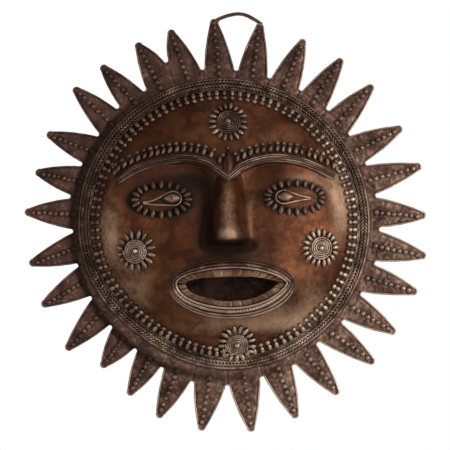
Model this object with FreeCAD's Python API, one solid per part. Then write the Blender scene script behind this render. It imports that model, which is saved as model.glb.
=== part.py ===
import FreeCAD
import Part
import math
import os
from FreeCAD import Vector

# Cast brass sun-face wall mask, as the sheets, threads and pellets that a caster builds it from.
# Millimetres. +Z is up, the face looks along -Y, and the wall is the plane Y = 0.
# Pieces are drawn about the middle of the face disc. They are written about the inner crown of
# the hanging loop, on the wall plane, which is the origin of the part.

# Driving dimensions -------------------------------------------------------------------------

LOOP_CROWN = (9.5, 147.1)      # inner crown of the loop, right of and above the disc's middle

FLANGE_IN = 94.0               # flat rim around the dome
FLANGE_OUT = 102.6
FLANGE_THICK = 3.0
DOME_RADIUS = 92.0
DOME_RISE = 28.0
DOME_POWER = 3.2
DOME_SOFT = 1.0                # how softly the dome's foot runs out into the rim
RIM_LEAN = (-0.5, 1.2)         # the hand-laid rim sits off centre in X and Z,
RIM_DENT = (217.0, 28.0, 4.6)  # and is pushed in: bearing, width in degrees, depth
WALL = 2.6                     # sheet thickness of the face
WALL_MAX = 5.0                 # most that the wall measures along Y where the face is steep
GRID_STEP = 3.0                # spacing of the face surface's control net
GRID_HALF = 96.0
SHEET_DEPTH = 150.0            # run of the solids that cut the face along Y
FRONT = -90.0                  # a plane in front of the whole mask

RING_POINTS = 36
RIM_WIRE_R = 101.3             # ring wires: radius of the ring, then of the wire
RIM_WIRE = 0.85
BRAID_R = (99.3, 97.0)
BRAID_WIRE = 1.15
INNER_WIRE_R = (95.1, 93.9)
INNER_WIRE = 0.6
BEAD_PAIRS = 106
ROUND_BEAD_R = 87.6
ROUND_BEAD = 1.4
DROP_R = 91.3
DROP_LENGTH = 5.2
DROP_WIDTH = 2.5

RAY_THICK = 2.2
RAY_TIP_HALF = 2.8
RAY_BULGE = 0.9
NOTCH_ROUND = 1.6              # radius of the rounded bottom of the gap between two rays
RAY_BEADS = 8
RAY_BEAD_FIRST = 106.6
RAY_BEAD_END = 6.0
RAY_BEAD_SIZE = (1.45, 1.3)
RAY_WIRE = 0.6
# Hand-cut rays: bearing of the root, bearing and radius of the tip, radius of the gap after it.
RAYS = [
    (10.5, 10.0, 144.0, 108.0), (23.0, 23.0, 142.0, 108.8), (35.5, 35.0, 143.0, 108.5),
    (47.5, 46.5, 143.0, 108.0), (60.0, 61.0, 142.0, 108.0), (72.5, 73.0, 144.0, 108.0),
    (85.0, 87.0, 141.0, 108.5), (97.5, 98.5, 142.5, 108.5), (110.0, 109.0, 142.5, 106.6),
    (122.5, 122.0, 141.0, 106.0), (135.0, 132.5, 142.0, 104.5), (147.5, 146.0, 142.0, 108.5),
    (159.5, 159.5, 143.5, 108.5), (172.5, 172.5, 145.0, 111.5), (185.5, 186.5, 144.0, 111.0),
    (198.0, 199.0, 142.0, 108.0), (209.5, 209.5, 136.0, 106.0), (222.0, 221.0, 131.0, 105.5),
    (235.0, 232.0, 140.5, 105.5), (248.5, 246.5, 139.5, 106.0), (261.5, 259.0, 139.0, 106.0),
    (274.5, 274.0, 140.0, 109.7), (287.0, 286.0, 137.5, 108.5), (299.5, 297.5, 140.0, 108.5),
    (312.0, 312.5, 143.0, 111.0), (324.0, 322.5, 141.5, 109.7), (335.0, 334.5, 142.0, 121.5),
    (346.0, 344.5, 142.5, 110.4), (358.0, 357.0, 145.0, 109.0),
]

# Brow ledge, from its left end through the nose root to its right end (X, Z).
BROW = [
    (-73.9, 31.5), (-60.6, 39.9), (-44.5, 44.7), (-28.4, 46.9), (-12.3, 44.0), (-4.6, 38.6),
    (2.5, 33.3), (11.6, 40.8), (23.5, 45.7), (35.7, 47.3), (51.8, 45.3), (65.9, 40.0), (76.0, 34.2),
]
BROW_ROOT = 6
BROW_WIRES = (-1.8, -0.6, 0.6, 1.8)
BROW_WIRE = 0.65
BROW_PAIRS = 17
BROW_PAIR_START = 0.13         # share of the brow that has no pairs, at the nose root
BROW_SEED_ABOVE = 6.2
BROW_BEAD_ABOVE = 10.0
BROW_PELLET = 0.94             # size of the pellets over the brows, against those on the rim
BROW_SEED_LEAN = 0.25
BROW_POINTS = 12
BROW_LEDGE = 1.9
BROW_LEDGE_HALF = 3.1

SOCKET_SIDE = 3.0              # how far the eye field lies behind the forehead, outside and
SOCKET_NOSE = 7.0              # by how much more beside the nose
SOCKET_NOSE_AT = 17.0
SOCKET_NOSE_WIDE = 19.0
SOCKET_REACH = 60.0            # the field runs this far sideways, then fades out over its end
SOCKET_END = 16.0
SOCKET_EDGE = 4.2
SOCKET_FADE = (8.0, 42.0)

NOSE_TOP = 33.5
NOSE_BASE = -8.8
NOSE_X = (2.5, 1.2)            # middle of the nose's front, at its root and at its tip,
NOSE_CREST = (3.0, 8.3)        # half width of that front, and the widths of its two flanks
NOSE_LEFT = (6.0, 6.5)
NOSE_RIGHT = (7.5, 8.5)
NOSE_LIFT = (0.5, 19.0)
NOSE_ROUND = 0.10              # share of the lift that the front's edges lose
NOSE_UNDER = 5.0
NOSE_START = (0.12, 0.2)       # how far above its top the nose starts to rise, and over what run
NOSE_POWER = 0.9

MOUTH_X = 5.0
MOUTH_Z = -39.5
MOUTH_TILT = 0.012
# Outlines round the mouth: half width, rise, drop, sharpness of the right corner.
LIP_OUTER = (43.0, 16.3, 23.5, 0.0)
LIP_SECOND = (41.7, 14.8, 21.8, 0.15)
LIP_TWIST = (40.3, 13.0, 19.4, 0.4)
LIP_INNER = (38.6, 11.2, 17.4, 0.5)
MOUTH_EDGE = (37.6, 10.2, 16.4, 0.5)
MOUTH_GAP = (32.4, 3.6, 12.6, 0.6)
LIP_FOOT = 3.0
LIP_CREST = 3.2
LIP_FADE = 0.4
LIP_ROLL = 0.68                # share of a half turn that the lip rolls through, foot to edge
LIP_WIRE = 0.7
LIP_STEP = 15                  # degrees between the points of a thread round the lips
TEETH = 16
TOOTH_SPAN = (3.0, 177.0)
TOOTH_GAP = 0.25               # degrees round the mouth
TOOTH_THICK = 2.0
TOOTH_BEHIND = 1.8
POCKET_WALL = 1.6
POCKET_FLOOR = -18.0

# Eyes: round end, tip, half height of the loop, pupil, then the ring of lashes.
EYES = {
    "eye_left": {"round": (-35.6, 18.9), "tip": (-56.1, 16.0), "half": 4.8, "pupil": (-36.2, 18.8),
                 "lashes": (-43.5, 18.2, 18.4, 10.6), "count": 20},
    "eye_right": {"round": (40.9, 20.0), "tip": (59.7, 19.2), "half": 4.5, "pupil": (42.0, 19.8),
                  "lashes": (48.6, 19.6, 19.2, 10.2), "count": 21},
}
EYE_WIRE = 0.6
EYE_ROUND = 1.15               # length of the loop's round end against its half height
PUPIL_LENGTH = 9.2
PUPIL_WIDTH = 6.0
LASH_LENGTH = 4.6
LASH_WIDTH = 2.5

# Roundels: X, Z, coil radius, petal reach, number of petals.
ROUNDELS = {
    "roundel_forehead": (2.5, 72.0, 8.6, 14.0, 18),
    "roundel_cheek_left": (-61.5, -17.2, 8.4, 14.6, 16),
    "roundel_cheek_right": (66.6, -14.9, 8.0, 13.6, 18),
    "roundel_chin": (8.8, -81.9, 7.9, 13.6, 17),
}
COIL_TURNS = 5
COIL_BACK = 1.2
COIL_TILT = 0.6                # share of the face's slope that a coil follows
BOSS = 1.8
PETAL_WIDTH = 2.5
PETAL_TUCK = 0.6               # how far a petal's foot reaches under the coil

LEAF_TOP = 52.5
LEAF_BASE = 34.5
LEAF_WIDE = 3.5
LEAF_WIDE_AT = 42.5
LEAF_THICK = 2.4
LEAF_ROOT = 1.0                # how much deeper the leaf's back reaches into the sheet
LEAF_BEAD = 1.3

LOOP_PATH = [(-6.8, 143.4), (-2.0, 145.7), (3.8, 147.6), (9.5, 148.4), (15.0, 147.5), (20.8, 144.6),
             (25.8, 141.2)]
LOOP_STRAND = 0.65
LOOP_APART = 0.6

BEND_SHARE = 0.45              # share of the shorter run that a path's bend takes up

PELLET_TIP = 8.0               # degrees of the oval cut away at each tip of a pellet
PELLET_FACETS = 8
SINK = 0.35                    # share of a pellet's or wire's radius that lies in the sheet


# Shape of the face --------------------------------------------------------------------------

def ease(t):
    """A smooth step from 0 to 1."""
    t = min(1.0, max(0.0, t))
    return t * t * (3.0 - 2.0 * t)


def mix(pair, t):
    return pair[0] + (pair[1] - pair[0]) * min(1.0, max(0.0, t))


def through(points, x):
    """Height at x of a smooth line through the points, which run from left to right."""
    x = min(points[-1][0], max(points[0][0], x))
    i = max(k for k in range(len(points) - 1) if points[k][0] <= x)
    (x0, z0), (x1, z1) = points[i], points[i + 1]
    before = points[i - 1] if i > 0 else points[i]
    after = points[i + 2] if i + 2 < len(points) else points[i + 1]
    slope_0 = (z1 - before[1]) / (x1 - before[0])
    slope_1 = (after[1] - z0) / (after[0] - x0)
    run = x1 - x0
    t = (x - x0) / run
    rise = (2 * t ** 3 - 3 * t ** 2 + 1) * z0 + (3 * t ** 2 - 2 * t ** 3) * z1
    bend = (t ** 3 - 2 * t ** 2 + t) * run * slope_0 + (t ** 3 - t ** 2) * run * slope_1
    return rise + bend


def brow_line(x):
    """Each brow is its own smooth arch, and the two meet in a point at the nose root."""
    left = BROW[:BROW_ROOT + 1]
    right = BROW[BROW_ROOT:]
    return through(left, x) if x < BROW[BROW_ROOT][0] else through(right, x)


def brow_reach(x):
    return 1.0 - ease((abs(x - NOSE_X[0]) - SOCKET_REACH) / SOCKET_END)


def rim_shift(bearing):
    """How far the hand-laid rim stands out from a true circle at a bearing."""
    turn = math.radians(bearing)
    middle, width, depth = RIM_DENT
    away = (bearing - middle + 180.0) % 360.0 - 180.0
    lean = RIM_LEAN[0] * math.sin(turn) + RIM_LEAN[1] * math.cos(turn)
    return lean - depth * math.exp(-(away / width) ** 2)


def dome(x, z):
    foot = DOME_RADIUS + rim_shift(math.degrees(math.atan2(x, z)))
    rise = DOME_RISE * (1.0 - (math.hypot(x, z) / foot) ** DOME_POWER)
    return FLANGE_THICK + 0.5 * (rise + math.hypot(rise, DOME_SOFT))


def socket(x, z):
    """How far the eye field lies behind the forehead's surface."""
    below = brow_line(x) - z
    beside = (abs(x - NOSE_X[0]) - SOCKET_NOSE_AT) / SOCKET_NOSE_WIDE
    deep = SOCKET_SIDE + SOCKET_NOSE * math.exp(-beside * beside)
    fade = 1.0 - ease((below - SOCKET_FADE[0]) / SOCKET_FADE[1])
    return deep * brow_reach(x) * ease(below / SOCKET_EDGE) * fade


def nose(x, z):
    """The nose's share of a point (1 on its front, 0 off the nose) and its lift there."""
    t = (NOSE_TOP - z) / (NOSE_TOP - NOSE_BASE)
    aside = x - mix(NOSE_X, t)
    crest = mix(NOSE_CREST, t)
    flank = mix(NOSE_RIGHT if aside > 0 else NOSE_LEFT, t)
    across = 1.0 - ease((abs(aside) - crest) / flank)
    across *= ease((t + NOSE_START[0]) / NOSE_START[1])
    across *= 1.0 - ease((NOSE_BASE - z) / NOSE_UNDER)
    lift = mix(NOSE_LIFT, max(0.0, t) ** NOSE_POWER)
    return across, lift * (1.0 - NOSE_ROUND * min(1.0, (aside / crest) ** 2))


def mouth_share(x, z, outline):
    """0 in the middle of the mouth and 1 on the outline."""
    half, rise, drop, sharp = outline
    above = z - MOUTH_Z - MOUTH_TILT * (x - MOUTH_X)
    return math.hypot((x - MOUTH_X) / half, above / (rise if above > 0 else drop))


def lips(x, z):
    outer = mouth_share(x, z, LIP_OUTER)
    inner = mouth_share(x, z, LIP_INNER)
    if outer >= 1.0:
        return LIP_FOOT * (1.0 - ease((outer - 1.0) / LIP_FADE))
    band = (1.0 - outer) / ((1.0 - outer) + max(0.0, inner - 1.0) + 1e-9)
    return LIP_FOOT + LIP_CREST * math.sin(LIP_ROLL * math.pi * min(1.0, band))


def face_height(x, z):
    """How far the face's front surface stands in front of the wall plane."""
    on_nose, lift = nose(x, z)
    ledge = BROW_LEDGE * math.exp(-((z - brow_line(x)) / BROW_LEDGE_HALF) ** 2) * brow_reach(x)
    height = dome(x, z) + ledge - socket(x, z) * (1.0 - on_nose)
    return height + lift * on_nose + lips(x, z)


def face_slope(x, z):
    step = 0.5
    across = (face_height(x + step, z) - face_height(x - step, z)) / (2 * step)
    up = (face_height(x, z + step) - face_height(x, z - step)) / (2 * step)
    return across, up


def on_face(x, z, lift=0.0):
    """A point of the face, raised along the normal, and that outward normal."""
    across, up = face_slope(x, z)
    normal = Vector(-across, -1.0, -up)
    normal.normalize()
    return Vector(x, -face_height(x, z), z) + normal * lift, normal


def polar(bearing, radius, y=0.0):
    """A point at a bearing from the top, clockwise as the face is seen from the front."""
    turn = math.radians(bearing)
    return Vector(radius * math.sin(turn), y, radius * math.cos(turn))


# Solids -------------------------------------------------------------------------------------

def spline_sheet(height_of):
    count = int(2 * GRID_HALF / GRID_STEP) + 1
    places = [-GRID_HALF + GRID_STEP * k for k in range(count)]
    net = [[Vector(x, -height_of(x, z), z) for z in places] for x in places]
    surface = Part.BSplineSurface()
    surface.interpolate(net)
    return surface.toShape().extrude(Vector(0, SHEET_DEPTH, 0))


def back_height(x, z):
    across, up = face_slope(x, z)
    return face_height(x, z) - min(WALL_MAX, WALL * math.sqrt(1.0 + across * across + up * up))


def mouth_point(angle, outline):
    half, rise, drop, sharp = outline
    turn = math.radians(angle)
    power = 1.0 + sharp * 0.5 * (1.0 + math.cos(turn))
    x = MOUTH_X + half * math.cos(turn)
    up = math.sin(turn)
    away = abs(up) ** power * (rise if up > 0 else -drop)
    return x, MOUTH_Z + MOUTH_TILT * (x - MOUTH_X) + away


def mouth_prism(outline, front, back):
    """The outline as a closed pair of smooth lines, extruded from front to back along Y."""
    edges = []
    for start in (0, 180):
        places = [mouth_point(start + angle, outline) for angle in range(0, 181, LIP_STEP)]
        curve = Part.BSplineCurve()
        curve.interpolate([Vector(x, front, z) for x, z in places])
        edges.append(curve.toShape())
    face = Part.Face(Part.Wire(edges))
    return face.extrude(Vector(0, back - front, 0))


def bend(before, corner, after):
    """The start, the top and the end of the tangent arc that rounds a path's corner."""
    run_in = corner - before
    run_out = after - corner
    cut = BEND_SHARE * min(run_in.Length, run_out.Length)
    run_in.normalize()
    run_out.normalize()
    half_turn = run_in.getAngle(run_out) / 2.0
    middle = run_out - run_in
    middle.normalize()
    radius = cut / math.tan(half_turn)
    top = corner + middle * (radius / math.cos(half_turn) - radius)
    return corner - run_in * cut, top, corner + run_out * cut


def tube(points, radius, closed=False):
    """A round wire along straight runs joined by tangent arcs."""
    if closed:
        points = points[-1:] + points + points[:1]
    bends = [bend(*three) for three in zip(points, points[1:], points[2:])]
    ends = [points[0]] + [arrive for leave, top, arrive in bends]
    starts = [leave for leave, top, arrive in bends] + [points[-1]]
    if closed:
        ends[0] = bends[-1][2]
        starts.pop()
    edges = []
    for k, start in enumerate(starts):
        edges.append(Part.LineSegment(ends[k], start).toShape())
        if k < len(bends):
            edges.append(Part.Arc(*bends[k]).toShape())
    section = Part.Wire(Part.Circle(ends[0], starts[0] - ends[0], radius).toShape())
    return Part.Wire(edges).makePipeShell([section], True, False)


def pellet(centre, along, length, width):
    """A seed-shaped pellet, round across its length, with a tiny flat at each tip."""
    outline = [Vector(0, 0, length / 2 * math.cos(math.radians(PELLET_TIP)))]
    for k in range(PELLET_FACETS + 1):
        turn = math.radians(PELLET_TIP + (180.0 - 2 * PELLET_TIP) * k / PELLET_FACETS)
        outline.append(Vector(width / 2 * math.sin(turn), 0, length / 2 * math.cos(turn)))
    outline.append(-outline[0])
    section = Part.Face(Part.makePolygon(outline + outline[:1]))
    solid = section.revolve(Vector(0, 0, 0), Vector(0, 0, 1), 360)
    solid.Placement = FreeCAD.Placement(centre, FreeCAD.Rotation(Vector(0, 0, 1), along))
    return solid


def ring(radius, wire, y):
    """A thread that runs right round the hand-laid rim."""
    bearings = [360.0 * k / RING_POINTS for k in range(RING_POINTS)]
    return tube([polar(bearing, radius + rim_shift(bearing), y) for bearing in bearings], wire, True)


def disc_between(inner, outer, front, back):
    """A flat ring about the disc's axis."""
    reach = back - front
    whole = Part.makeCylinder(outer, reach, Vector(0, front, 0), Vector(0, 1, 0))
    return whole.cut(Part.makeCylinder(inner, reach, Vector(0, front, 0), Vector(0, 1, 0)))


# Pieces -------------------------------------------------------------------------------------

def front_volume():
    """All that lies between the face's front surface and the wall plane, inside the flange."""
    block = Part.makeCylinder(FLANGE_IN, -FRONT, Vector(0, FRONT, 0), Vector(0, 1, 0))
    return block.common(spline_sheet(face_height))


def face_and_pocket():
    """The face sheet, and the closed cup that stands against its back behind the mouth."""
    behind = spline_sheet(back_height)
    shell = front_volume().cut(behind).cut(mouth_prism(MOUTH_EDGE, FRONT, 0))
    outer = tuple(size + POCKET_WALL for size in MOUTH_EDGE[:3]) + MOUTH_EDGE[3:]
    cup = mouth_prism(outer, FRONT, POCKET_FLOOR)
    cup = cup.cut(mouth_prism(MOUTH_EDGE, FRONT, POCKET_FLOOR - POCKET_WALL))
    return shell, cup.common(behind)


def tooth(start, end):
    """One square tooth: a block between the edge of the sheet and the gap of the mouth."""
    start += math.copysign(TOOTH_GAP, end - start)
    end -= math.copysign(TOOTH_GAP, end - start)
    corners = [mouth_point(start, MOUTH_EDGE), mouth_point(end, MOUTH_EDGE)]
    corners += [mouth_point(end, MOUTH_GAP), mouth_point(start, MOUTH_GAP)]
    middle = [sum(corner[k] for corner in corners) / 4.0 for k in (0, 1)]
    y = -face_height(*middle) + TOOTH_BEHIND
    points = [Vector(x, y, z) for x, z in corners]
    face = Part.Face(Part.makePolygon(points + points[:1]))
    return face.extrude(Vector(0, TOOTH_THICK, 0))


def teeth(side):
    """A row of teeth along the upper (side 1) or the lower lip (side -1)."""
    first, last = TOOTH_SPAN
    ends = [side * (first + (last - first) * k / TEETH) for k in range(TEETH + 1)]
    return Part.makeCompound([tooth(start, end) for start, end in zip(ends, ends[1:])])


def lip_wire(*outlines):
    """Threads round the lips, each laid as an upper and a lower length."""
    lengths = []
    for outline in outlines:
        for side in (1, -1):
            places = [mouth_point(side * angle, outline) for angle in range(0, 181, LIP_STEP)]
            lengths.append(tube([on_face(x, z, LIP_WIRE * (1 - SINK))[0] for x, z in places], LIP_WIRE))
    return Part.makeCompound(lengths)


def notch(seam, radius, side):
    """Bottom, middle and end of the quarter round where a ray leaves the gap beside it."""
    out = polar(seam, 1.0)
    inward = Vector(out.z, 0, -out.x) * side
    centre = polar(seam, radius + NOTCH_ROUND)
    slant = math.sqrt(0.5)
    bottom = centre - out * NOTCH_ROUND
    return bottom, centre + (inward - out) * (NOTCH_ROUND * slant), centre + inward * NOTCH_ROUND


def bowed(start, end, out):
    """The middle of a ray's side, which bows outwards."""
    side = end - start
    side.normalize()
    out = out - side * out.dot(side)
    out.normalize()
    return (start + end) * 0.5 + out * RAY_BULGE


def ray_points(index, inset=0.0):
    """The corners of a ray, from one side of its root round the tip to the other."""
    root, tip_bearing, tip_radius, after = RAYS[index]
    before = RAYS[index - 1][3]
    seams = [(RAYS[index - 1][0] + root) / 2.0, (root + RAYS[(index + 1) % len(RAYS)][0]) / 2.0]
    if index == 0:
        seams[0] -= 180.0
    if index == len(RAYS) - 1:
        seams[1] += 180.0
    tip = polar(tip_bearing, tip_radius)
    along = tip - polar(root, FLANGE_OUT)
    along.normalize()
    across = Vector(along.z, 0, -along.x)
    gaps = notch(seams[0], before, 1.0), notch(seams[1], after, -1.0)
    low, high = gaps[0][2] + across * inset, gaps[1][2] - across * inset
    shoulders = [tip - along * RAY_TIP_HALF + across * (side * (RAY_TIP_HALF - inset)) for side in (-1, 1)]
    bows = bowed(low, shoulders[0], -across), bowed(shoulders[1], high, across)
    return seams, gaps, low, bows[0], shoulders[0], tip - along * inset, shoulders[1], bows[1], high


def ray(index):
    """One flat tapering ray, with its root against the rim flange."""
    seams, gaps, low, bow_0, shoulder_0, top, shoulder_1, bow_1, high = ray_points(index)
    foot_0, foot_1 = polar(seams[0], FLANGE_OUT), polar(seams[1], FLANGE_OUT)
    edges = [
        Part.Arc(foot_1, polar(sum(seams) / 2.0, FLANGE_OUT), foot_0),
        Part.LineSegment(foot_0, gaps[0][0]),
        Part.Arc(*gaps[0]),
        Part.Arc(low, bow_0, shoulder_0),
        Part.Arc(shoulder_0, top, shoulder_1),
        Part.Arc(shoulder_1, bow_1, high),
        Part.Arc(*gaps[1][::-1]),
        Part.LineSegment(gaps[1][0], foot_1),
    ]
    outline = Part.Wire([edge.toShape() for edge in edges])
    return Part.Face(outline).extrude(Vector(0, -RAY_THICK, 0))


def ray_edge_wire(index):
    """The thread along a ray's two edges and round its tip."""
    level = Vector(0, -RAY_THICK - RAY_WIRE * (1 - SINK), 0)
    return tube([point + level for point in ray_points(index, RAY_WIRE)[2:]], RAY_WIRE)


def ray_bead_row(index):
    """A row of pellets down the middle of a ray, smaller towards the tip."""
    root, tip_bearing, tip_radius, after = RAYS[index]
    foot = polar(root, RAY_BEAD_FIRST)
    end = polar(tip_bearing, tip_radius - RAY_BEAD_END)
    row = []
    for k in range(RAY_BEADS):
        share = k / (RAY_BEADS - 1.0)
        size = mix(RAY_BEAD_SIZE, share)
        centre = foot + (end - foot) * share + Vector(0, -RAY_THICK - size * (1 - SINK), 0)
        row.append(Part.makeSphere(size, centre))
    return row


def rim_places(radius):
    """Places of the pellets round the rim, in X and Z."""
    for k in range(BEAD_PAIRS):
        bearing = 360.0 * k / BEAD_PAIRS
        place = polar(bearing, radius + rim_shift(bearing))
        yield place.x, place.z


def rim_beads():
    lift = ROUND_BEAD * (1 - SINK)
    return Part.makeCompound([
        Part.makeSphere(ROUND_BEAD, on_face(x, z, lift)[0]) for x, z in rim_places(ROUND_BEAD_R)
    ])


def face_seed(x, z, aim_x, aim_z, length, width):
    """A pellet that lies on the face and points the way given in X and Z."""
    centre, normal = on_face(x, z, width / 2 * (1 - SINK))
    along = Vector(aim_x, 0, aim_z)
    along = along - normal * along.dot(normal)
    along.normalize()
    return pellet(centre, along, length, width)


def rim_drops():
    return Part.makeCompound([
        face_seed(x, z, x, z, DROP_LENGTH, DROP_WIDTH) for x, z in rim_places(DROP_R)
    ])


def brow_side(side):
    """The brow's points from the nose root outwards."""
    return BROW[BROW_ROOT::-1] if side < 0 else BROW[BROW_ROOT:]


def along_brow(side, share, above):
    """A point a share of the way out along a brow, a distance above its line."""
    points = brow_side(side)
    x = points[0][0] + (points[-1][0] - points[0][0]) * share
    step = 0.5 * side
    run = brow_line(x + step) - brow_line(x - step)
    length = math.hypot(2 * step, run)
    return x - above * side * run / length, brow_line(x) + above * abs(2 * step) / length


def brow_wires(side):
    """Parallel threads laid side by side along one brow."""
    threads = []
    for above in BROW_WIRES:
        points = [along_brow(side, k / BROW_POINTS, above) for k in range(BROW_POINTS + 1)]
        threads.append(tube([on_face(x, z, BROW_WIRE * (1 - SINK))[0] for x, z in points], BROW_WIRE))
    return Part.makeCompound(threads)


def brow_pair_places(above):
    step = (1.0 - BROW_PAIR_START) / (BROW_PAIRS - 1)
    for side in (-1, 1):
        for k in range(BROW_PAIRS):
            yield along_brow(side, BROW_PAIR_START + step * k, above)


def brow_beads():
    size = ROUND_BEAD * BROW_PELLET
    return Part.makeCompound([
        Part.makeSphere(size, on_face(x, z, size * (1 - SINK))[0])
        for x, z in brow_pair_places(BROW_BEAD_ABOVE)
    ])


def brow_seeds():
    return Part.makeCompound([
        face_seed(x, z, BROW_SEED_LEAN, 1.0, DROP_LENGTH * BROW_PELLET, DROP_WIDTH * BROW_PELLET)
        for x, z in brow_pair_places(BROW_SEED_ABOVE)
    ])


def forehead_leaf():
    """A pointed leaf over the nose root, with a bead at its point."""
    x = BROW[BROW_ROOT][0]
    front = -face_height(x, LEAF_WIDE_AT) - LEAF_THICK * 0.6
    top = Vector(x, front, LEAF_TOP)
    base = Vector(x, front, LEAF_BASE)
    left = Vector(x - LEAF_WIDE, front, LEAF_WIDE_AT)
    right = Vector(x + LEAF_WIDE, front, LEAF_WIDE_AT)
    outline = Part.makePolygon([top, right, base, left, top])
    blade = Part.Face(outline).extrude(Vector(0, LEAF_THICK + LEAF_ROOT, 0))
    bead = Part.makeSphere(LEAF_BEAD, on_face(x, LEAF_TOP + LEAF_BEAD, LEAF_BEAD * (1 - SINK))[0])
    return Part.makeCompound([blade, bead])


def eye_rim(eye):
    """A drop-shaped loop of thread, from the tip round the wide end and back."""
    (cx, cz), (tx, tz), half = eye["round"], eye["tip"], eye["half"]
    side = 1.0 if cx > tx else -1.0
    flat = [(tx, tz + 0.5)]
    for angle in (105, 75, 40, 10, -10, -40, -75, -105):
        turn = math.radians(angle)
        flat.append((cx + side * half * EYE_ROUND * math.cos(turn), cz + half * math.sin(turn)))
    flat.append((tx, tz - 0.5))
    return tube([on_face(x, z, EYE_WIRE * (1 - SINK))[0] for x, z in flat], EYE_WIRE)


def eye_pupils():
    pupils = []
    for eye in EYES.values():
        x, z = eye["pupil"]
        pupils.append(face_seed(x, z, 1.0, 0.0, PUPIL_LENGTH, PUPIL_WIDTH))
    return Part.makeCompound(pupils)


def eye_lashes():
    """Seeds that radiate from each eye, on an oval around it."""
    lashes = []
    for eye in EYES.values():
        cx, cz, half_x, half_z = eye["lashes"]
        for k in range(eye["count"]):
            turn = 2 * math.pi * k / eye["count"]
            aim_x = half_x * math.cos(turn)
            aim_z = half_z * math.sin(turn)
            out_x = math.cos(turn) * half_z
            out_z = math.sin(turn) * half_x
            lashes.append(face_seed(cx + aim_x, cz + aim_z, out_x, out_z, LASH_LENGTH, LASH_WIDTH))
    return Part.makeCompound(lashes)


def coil_profile(radius):
    """Half section of a flat coil: a backing disc with one half-round bump for each turn."""
    pitch = radius / COIL_TURNS
    bump = pitch / 2.0
    edges = []
    for k in range(COIL_TURNS):
        inner = k * pitch
        start = Vector(inner, 0, COIL_BACK)
        end = Vector(inner + pitch, 0, COIL_BACK)
        top = Vector(inner + bump, 0, COIL_BACK + bump)
        edges.append(Part.Arc(start, top, end).toShape())
    corner = Vector(radius, 0, -COIL_BACK)
    axis = Vector(0, 0, -COIL_BACK)
    edges.append(Part.LineSegment(Vector(radius, 0, COIL_BACK), corner).toShape())
    edges.append(Part.LineSegment(corner, axis).toShape())
    edges.append(Part.LineSegment(axis, Vector(0, 0, COIL_BACK)).toShape())
    return Part.Wire(edges)


def roundel(name):
    """A flat coil of thread with a bead on its middle."""
    x, z, radius = ROUNDELS[name][:3]
    centre, slope = on_face(x, z)
    normal = Vector(slope.x * COIL_TILT, slope.y, slope.z * COIL_TILT)
    normal.normalize()
    coil = Part.Face(coil_profile(radius)).revolve(Vector(0, 0, 0), Vector(0, 0, 1), 360)
    coil.Placement = FreeCAD.Placement(centre, FreeCAD.Rotation(Vector(0, 0, 1), normal))
    boss = Part.makeSphere(BOSS, centre + normal * (COIL_BACK + radius / COIL_TURNS / 2.0 + BOSS * 0.5))
    return Part.makeCompound([coil, boss])


def roundel_petals():
    """The seeds that stand round each coil, with their feet tucked against it."""
    petals = []
    for x, z, radius, reach, count in ROUNDELS.values():
        length = reach - radius + PETAL_TUCK
        middle = reach - length / 2.0
        for k in range(count):
            turn = 2 * math.pi * (k + 0.5) / count
            aim = math.sin(turn), math.cos(turn)
            petals.append(face_seed(x + aim[0] * middle, z + aim[1] * middle, *aim, length, PETAL_WIDTH))
    return Part.makeCompound(petals)


def hanging_loop():
    """Two threads side by side, arched between the tips of the two top rays."""
    strands = []
    path = [Vector(x, -LOOP_STRAND, z) for x, z in LOOP_PATH]
    for away in (LOOP_APART, -LOOP_APART):
        points = []
        for k, point in enumerate(path):
            run = path[min(len(path) - 1, k + 1)] - path[max(0, k - 1)]
            run.normalize()
            points.append(point + Vector(-run.z, 0, run.x) * away)
        strands.append(tube(points, LOOP_STRAND))
    return Part.makeCompound(strands)


def flange_rings(radii, wire):
    return Part.makeCompound([ring(radius, wire, -FLANGE_THICK - wire * (1 - SINK)) for radius in radii])


def build():
    """Every node of the mask, by name."""
    shell, pocket = face_and_pocket()
    rays = range(len(RAYS))
    nodes = {
        "face_shell": shell,
        "mouth_pocket": pocket,
        "teeth_upper": teeth(1),
        "teeth_lower": teeth(-1),
        "lip_outer_wire": lip_wire(LIP_OUTER, LIP_SECOND),
        "lip_twisted_wire": lip_wire(LIP_TWIST),
        "lip_inner_wire": lip_wire(LIP_INNER),
        "rim_flange": disc_between(FLANGE_IN, FLANGE_OUT, -FLANGE_THICK, 0),
        "rim_outer_wire": flange_rings([RIM_WIRE_R], RIM_WIRE),
        "rim_braid_outer": flange_rings(BRAID_R[:1], BRAID_WIRE),
        "rim_braid_inner": flange_rings(BRAID_R[1:], BRAID_WIRE),
        "rim_inner_wires": flange_rings(INNER_WIRE_R, INNER_WIRE),
        "rim_round_beads": rim_beads(),
        "rim_seed_drops": rim_drops(),
        "brow_left_wires": brow_wires(-1),
        "brow_right_wires": brow_wires(1),
        "brow_beads": brow_beads(),
        "brow_seeds": brow_seeds(),
        "forehead_leaf": forehead_leaf(),
        "eye_left_rim": eye_rim(EYES["eye_left"]),
        "eye_right_rim": eye_rim(EYES["eye_right"]),
        "eye_pupils": eye_pupils(),
        "eye_lashes": eye_lashes(),
        "roundel_petals": roundel_petals(),
        "ray_edge_wires": Part.makeCompound([ray_edge_wire(index) for index in rays]),
        "ray_beads": Part.makeCompound([bead for index in rays for bead in ray_bead_row(index)]),
        "hanging_loop": hanging_loop(),
    }
    for name in ROUNDELS:
        nodes[name] = roundel(name)
    for index in rays:
        nodes["ray_%02d" % (index + 1)] = ray(index)
    return nodes


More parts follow.
